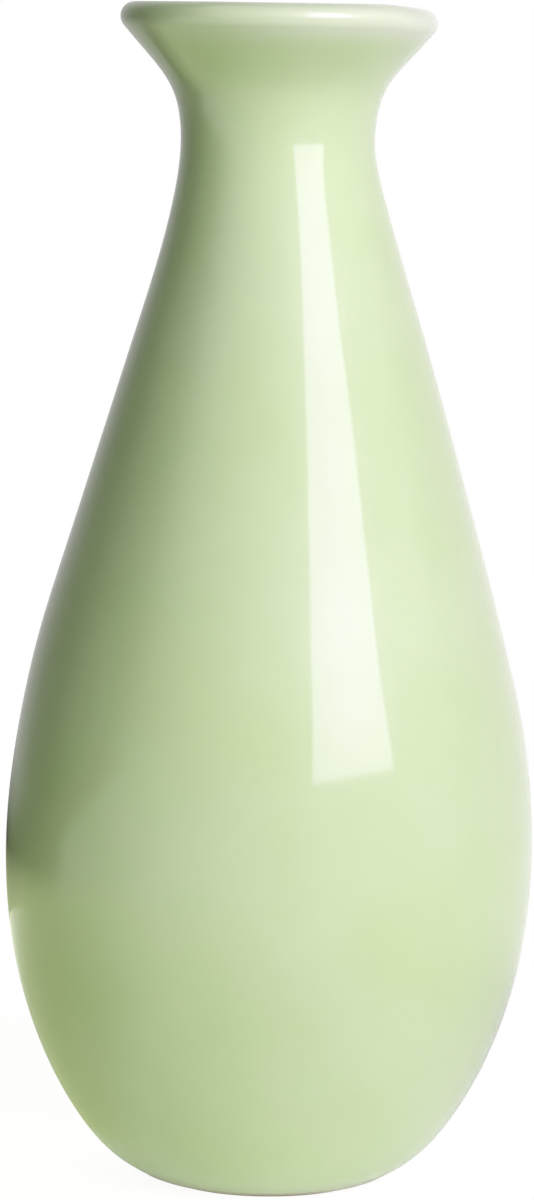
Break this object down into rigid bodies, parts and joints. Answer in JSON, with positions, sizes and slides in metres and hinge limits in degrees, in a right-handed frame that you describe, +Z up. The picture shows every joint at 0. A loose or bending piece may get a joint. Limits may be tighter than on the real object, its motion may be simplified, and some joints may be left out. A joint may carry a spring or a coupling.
{
  "type": "flower vase",
  "caption": "Pear-shaped glazed stoneware flower vase: low round belly, long taper, narrow neck, flared round lip, hollow inside, on a recessed foot ring.",
  "frame": {"origin": "centre of the foot ring's standing face, on the vase's axis, at the level of the surface that the vase stands on", "axes": "+Z up along the vase's axis of revolution, from the foot to the mouth; +X and +Y are any two directions square to it, because the vase is round"},
  "size_m": [0.1124, 0.1124, 0.25],
  "materials": {
    "bare_clay": "bare fired clay, matt, slightly sandy to the touch",
    "outer_glaze": "pale celadon green glaze, high gloss, faintly clouded, thinner and paler at the lip",
    "inner_glaze": "pale celadon green glaze, gloss",
    "foot_glaze": "thin pale celadon green glaze, satin gloss"
  },
  "bodies": {
    "root": {"clay_body": "bare_clay", "outer_glaze": "outer_glaze", "inner_glaze": "inner_glaze", "foot_glaze": "foot_glaze"}
  },
  "joints": []
}
